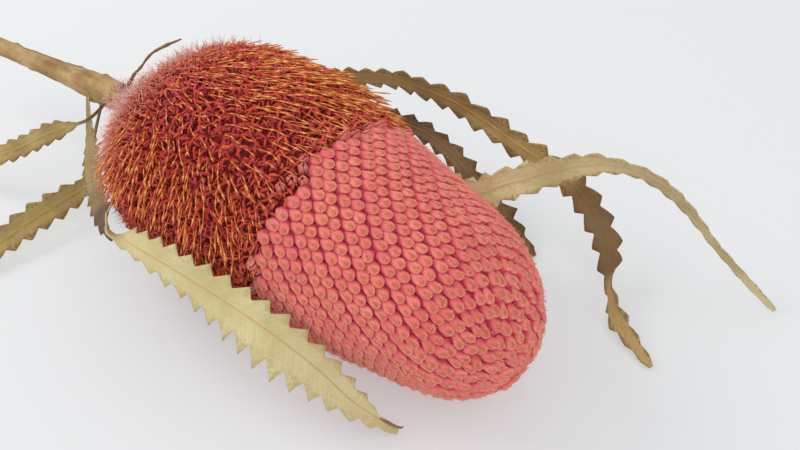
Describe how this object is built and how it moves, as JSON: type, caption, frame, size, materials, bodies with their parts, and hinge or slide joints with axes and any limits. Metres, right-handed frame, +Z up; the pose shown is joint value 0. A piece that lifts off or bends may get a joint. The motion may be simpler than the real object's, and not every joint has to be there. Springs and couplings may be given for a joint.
{
  "type": "banksia flower spike",
  "caption": "Dried banksia flower spike lying on its side: closed buds towards the tip, open florets with wiry styles towards the base, a cut stem and saw-edged leaves.",
  "frame": {"origin": "the flat spot where the pressed florets under the middle of the spike meet the surface", "axes": "+X along the spike towards its tip, +Z up from the surface that it lies on"},
  "size_m": [0.2978, 0.1657, 0.0785],
  "materials": {
    "closed_florets": "matte",
    "open_florets": "matte",
    "stem": "matte",
    "pale_leaf": "satin",
    "olive_leaf": "satin",
    "brown_leaf": "matte"
  },
  "bodies": {
    "root": {"closed_florets": "closed_florets", "open_florets": "open_florets", "stem": "stem", "leaf_front": "pale_leaf", "leaf_left_upper": "olive_leaf", "leaf_left_lower": "olive_leaf", "leaf_curled": "brown_leaf", "leaf_back_long": "olive_leaf", "leaf_back_dark": "brown_leaf", "leaf_arched": "pale_leaf"}
  },
  "joints": []
}
